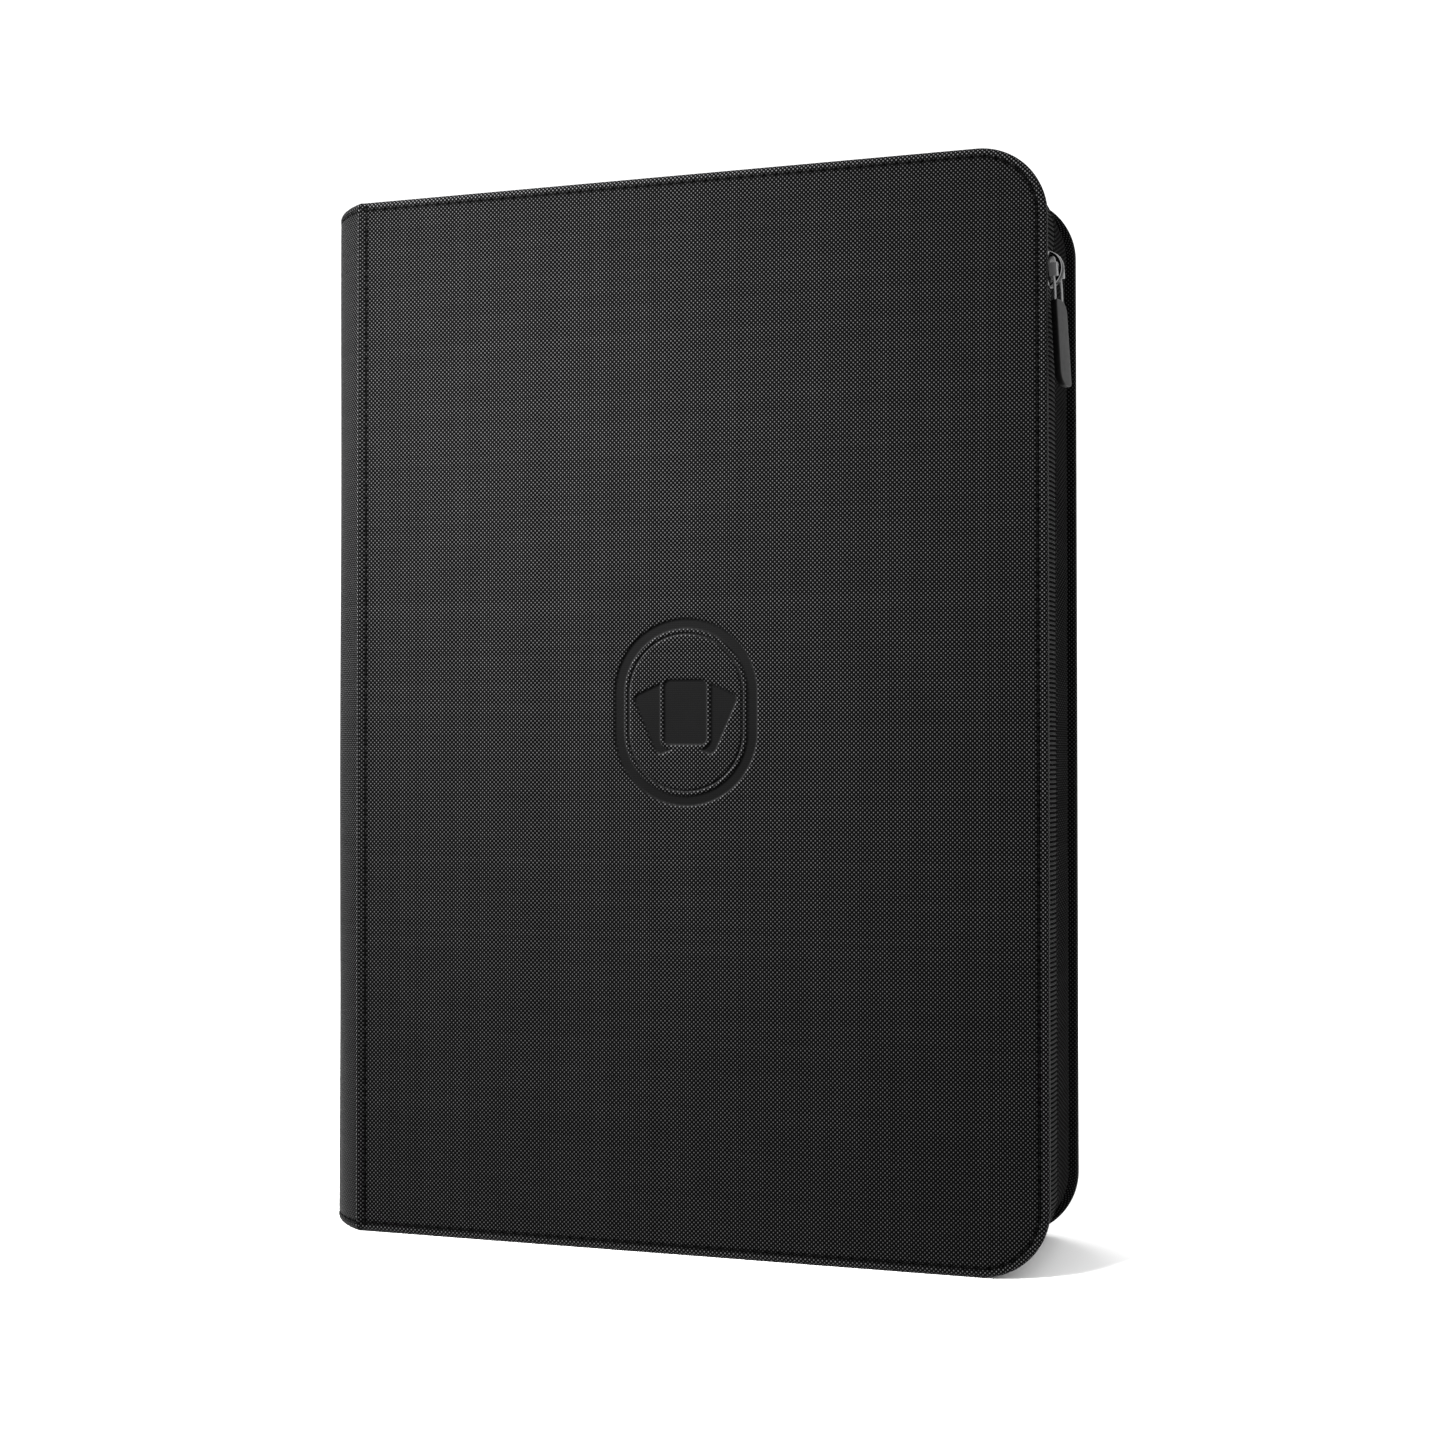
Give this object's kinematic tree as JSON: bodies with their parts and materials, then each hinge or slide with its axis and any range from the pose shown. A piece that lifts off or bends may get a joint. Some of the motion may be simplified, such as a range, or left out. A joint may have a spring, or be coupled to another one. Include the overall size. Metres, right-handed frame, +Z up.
{
  "type": "trading card binder",
  "caption": "Zip-round trading card binder: stiff woven covers, round spine, soft zip wall with slider and pull, and fixed leaves of side-loading card pockets.",
  "frame": {"origin": "middle of the base that the closed binder stands on, under the centre of its box, slider included", "axes": "+Z up the spine, +X from the spine to the fore-edge, the front cover faces -Y"},
  "size_m": [0.2556, 0.066, 0.345],
  "materials": {
    "cover_weave": "satin",
    "board": "matte",
    "lining": "matte",
    "gusset_cloth": "matte",
    "zip_tape": "matte",
    "zip_coil": "satin",
    "zip_stop": "satin",
    "strip_plastic": "matte",
    "slider_metal": "gloss",
    "pull_wire": "satin",
    "pull_grip": "satin",
    "leaf_backing": "matte",
    "pocket_film": "gloss"
  },
  "bodies": {
    "back": {"back_cover_skin": "cover_weave", "back_board": "board", "back_lining": "lining", "gusset": "gusset_cloth", "zip_tape_back": "zip_tape", "zip_coil_back": "zip_coil", "zip_stops_back": "zip_stop"},
    "spine": {"spine_skin": "cover_weave", "spine_board": "board", "spine_lining": "lining", "binding_strip": "strip_plastic"},
    "front": {"front_cover_skin": "cover_weave", "front_board": "board", "front_lining": "lining", "zip_tape_front": "zip_tape", "zip_coil_front": "zip_coil", "zip_stops_front": "zip_stop"},
    "slider": {"slider_body": "slider_metal"},
    "pull": {"pull_loop": "pull_wire", "pull_tab": "pull_grip"},
    "leaf_01": {"leaf_01_backing": "leaf_backing", "leaf_01_pockets": "pocket_film"},
    "leaf_02": {"leaf_02_backing": "leaf_backing", "leaf_02_pockets": "pocket_film"},
    "leaf_03": {"leaf_03_backing": "leaf_backing", "leaf_03_pockets": "pocket_film"},
    "leaf_04": {"leaf_04_backing": "leaf_backing", "leaf_04_pockets": "pocket_film"},
    "leaf_05": {"leaf_05_backing": "leaf_backing", "leaf_05_pockets": "pocket_film"},
    "leaf_06": {"leaf_06_backing": "leaf_backing", "leaf_06_pockets": "pocket_film"},
    "leaf_07": {"leaf_07_backing": "leaf_backing", "leaf_07_pockets": "pocket_film"},
    "leaf_08": {"leaf_08_backing": "leaf_backing", "leaf_08_pockets": "pocket_film"},
    "leaf_09": {"leaf_09_backing": "leaf_backing", "leaf_09_pockets": "pocket_film"},
    "leaf_10": {"leaf_10_backing": "leaf_backing", "leaf_10_pockets": "pocket_film"},
    "leaf_11": {"leaf_11_backing": "leaf_backing", "leaf_11_pockets": "pocket_film"},
    "leaf_12": {"leaf_12_backing": "leaf_backing", "leaf_12_pockets": "pocket_film"},
    "leaf_13": {"leaf_13_backing": "leaf_backing", "leaf_13_pockets": "pocket_film"},
    "leaf_14": {"leaf_14_backing": "leaf_backing", "leaf_14_pockets": "pocket_film"},
    "leaf_15": {"leaf_15_backing": "leaf_backing", "leaf_15_pockets": "pocket_film"},
    "leaf_16": {"leaf_16_backing": "leaf_backing", "leaf_16_pockets": "pocket_film"},
    "leaf_17": {"leaf_17_backing": "leaf_backing", "leaf_17_pockets": "pocket_film"},
    "leaf_18": {"leaf_18_backing": "leaf_backing", "leaf_18_pockets": "pocket_film"},
    "leaf_19": {"leaf_19_backing": "leaf_backing", "leaf_19_pockets": "pocket_film"},
    "leaf_20": {"leaf_20_backing": "leaf_backing", "leaf_20_pockets": "pocket_film"}
  },
  "joints": [
    {"name": "back_fold", "type": "hinge", "parent": "back", "child": "spine", "pos_m": [-0.10835, 0.033, 0.1725], "axis": [0, 0, -1], "range_deg": [0, 90]},
    {"name": "front_fold", "type": "hinge", "parent": "spine", "child": "front", "pos_m": [-0.10835, -0.033, 0.1725], "axis": [0, 0, -1], "range_deg": [0, 90]},
    {"name": "zip_travel", "type": "slide", "parent": "back", "child": "slider", "axis": [0, 0, 1], "range_m": [-0.271, 0]},
    {"name": "pull_swing", "type": "hinge", "parent": "slider", "child": "pull", "pos_m": [0.12372, -0.02001, 0.31], "axis": [-0.2588, -0.9659, 0], "range_deg": [0, 166]},
    {"name": "leaf_01_turn", "type": "hinge", "parent": "spine", "child": "leaf_01", "pos_m": [-0.10475, -0.0255, 0.1725], "axis": [0, 0, -1], "range_deg": [0, 59.41]},
    {"name": "leaf_02_turn", "type": "hinge", "parent": "spine", "child": "leaf_02", "pos_m": [-0.10475, -0.02282, 0.1725], "axis": [0, 0, -1], "range_deg": [0, 53.16]},
    {"name": "leaf_03_turn", "type": "hinge", "parent": "spine", "child": "leaf_03", "pos_m": [-0.10475, -0.02013, 0.1725], "axis": [0, 0, -1], "range_deg": [0, 46.91]},
    {"name": "leaf_04_turn", "type": "hinge", "parent": "spine", "child": "leaf_04", "pos_m": [-0.10475, -0.01745, 0.1725], "axis": [0, 0, -1], "range_deg": [0, 40.65]},
    {"name": "leaf_05_turn", "type": "hinge", "parent": "spine", "child": "leaf_05", "pos_m": [-0.10475, -0.01476, 0.1725], "axis": [0, 0, -1], "range_deg": [0, 34.4]},
    {"name": "leaf_06_turn", "type": "hinge", "parent": "spine", "child": "leaf_06", "pos_m": [-0.10475, -0.01208, 0.1725], "axis": [0, 0, -1], "range_deg": [0, 28.14]},
    {"name": "leaf_07_turn", "type": "hinge", "parent": "spine", "child": "leaf_07", "pos_m": [-0.10475, -0.0094, 0.1725], "axis": [0, 0, -1], "range_deg": [0, 21.9]},
    {"name": "leaf_08_turn", "type": "hinge", "parent": "spine", "child": "leaf_08", "pos_m": [-0.10475, -0.00671, 0.1725], "axis": [0, 0, -1], "range_deg": [0, 15.64]},
    {"name": "leaf_09_turn", "type": "hinge", "parent": "spine", "child": "leaf_09", "pos_m": [-0.10475, -0.00403, 0.1725], "axis": [0, 0, -1], "range_deg": [0, 9.39]},
    {"name": "leaf_10_turn", "type": "hinge", "parent": "spine", "child": "leaf_10", "pos_m": [-0.10475, -0.00134, 0.1725], "axis": [0, 0, -1], "range_deg": [0, 3.13]},
    {"name": "leaf_11_turn", "type": "hinge", "parent": "spine", "child": "leaf_11", "pos_m": [-0.10475, 0.00134, 0.1725], "axis": [0, 0, 1], "range_deg": [0, 3.13]},
    {"name": "leaf_12_turn", "type": "hinge", "parent": "spine", "child": "leaf_12", "pos_m": [-0.10475, 0.00403, 0.1725], "axis": [0, 0, 1], "range_deg": [0, 9.39]},
    {"name": "leaf_13_turn", "type": "hinge", "parent": "spine", "child": "leaf_13", "pos_m": [-0.10475, 0.00671, 0.1725], "axis": [0, 0, 1], "range_deg": [0, 15.64]},
    {"name": "leaf_14_turn", "type": "hinge", "parent": "spine", "child": "leaf_14", "pos_m": [-0.10475, 0.0094, 0.1725], "axis": [0, 0, 1], "range_deg": [0, 21.9]},
    {"name": "leaf_15_turn", "type": "hinge", "parent": "spine", "child": "leaf_15", "pos_m": [-0.10475, 0.01208, 0.1725], "axis": [0, 0, 1], "range_deg": [0, 28.14]},
    {"name": "leaf_16_turn", "type": "hinge", "parent": "spine", "child": "leaf_16", "pos_m": [-0.10475, 0.01476, 0.1725], "axis": [0, 0, 1], "range_deg": [0, 34.4]},
    {"name": "leaf_17_turn", "type": "hinge", "parent": "spine", "child": "leaf_17", "pos_m": [-0.10475, 0.01745, 0.1725], "axis": [0, 0, 1], "range_deg": [0, 40.65]},
    {"name": "leaf_18_turn", "type": "hinge", "parent": "spine", "child": "leaf_18", "pos_m": [-0.10475, 0.02013, 0.1725], "axis": [0, 0, 1], "range_deg": [0, 46.91]},
    {"name": "leaf_19_turn", "type": "hinge", "parent": "spine", "child": "leaf_19", "pos_m": [-0.10475, 0.02282, 0.1725], "axis": [0, 0, 1], "range_deg": [0, 53.16]},
    {"name": "leaf_20_turn", "type": "hinge", "parent": "spine", "child": "leaf_20", "pos_m": [-0.10475, 0.0255, 0.1725], "axis": [0, 0, 1], "range_deg": [0, 59.41]}
  ],
  "couplings": [
    {"joint": "leaf_01_turn", "follows": "front_fold", "ratio": 0.66},
    {"joint": "leaf_02_turn", "follows": "front_fold", "ratio": 0.5905},
    {"joint": "leaf_03_turn", "follows": "front_fold", "ratio": 0.5211},
    {"joint": "leaf_04_turn", "follows": "front_fold", "ratio": 0.4516},
    {"joint": "leaf_05_turn", "follows": "front_fold", "ratio": 0.3821},
    {"joint": "leaf_06_turn", "follows": "front_fold", "ratio": 0.3126},
    {"joint": "leaf_07_turn", "follows": "front_fold", "ratio": 0.2432},
    {"joint": "leaf_08_turn", "follows": "front_fold", "ratio": 0.1737},
    {"joint": "leaf_09_turn", "follows": "front_fold", "ratio": 0.1042},
    {"joint": "leaf_10_turn", "follows": "front_fold", "ratio": 0.0347},
    {"joint": "leaf_11_turn", "follows": "back_fold", "ratio": 0.0347},
    {"joint": "leaf_12_turn", "follows": "back_fold", "ratio": 0.1042},
    {"joint": "leaf_13_turn", "follows": "back_fold", "ratio": 0.1737},
    {"joint": "leaf_14_turn", "follows": "back_fold", "ratio": 0.2432},
    {"joint": "leaf_15_turn", "follows": "back_fold", "ratio": 0.3126},
    {"joint": "leaf_16_turn", "follows": "back_fold", "ratio": 0.3821},
    {"joint": "leaf_17_turn", "follows": "back_fold", "ratio": 0.4516},
    {"joint": "leaf_18_turn", "follows": "back_fold", "ratio": 0.5211},
    {"joint": "leaf_19_turn", "follows": "back_fold", "ratio": 0.5905},
    {"joint": "leaf_20_turn", "follows": "back_fold", "ratio": 0.66}
  ]
}
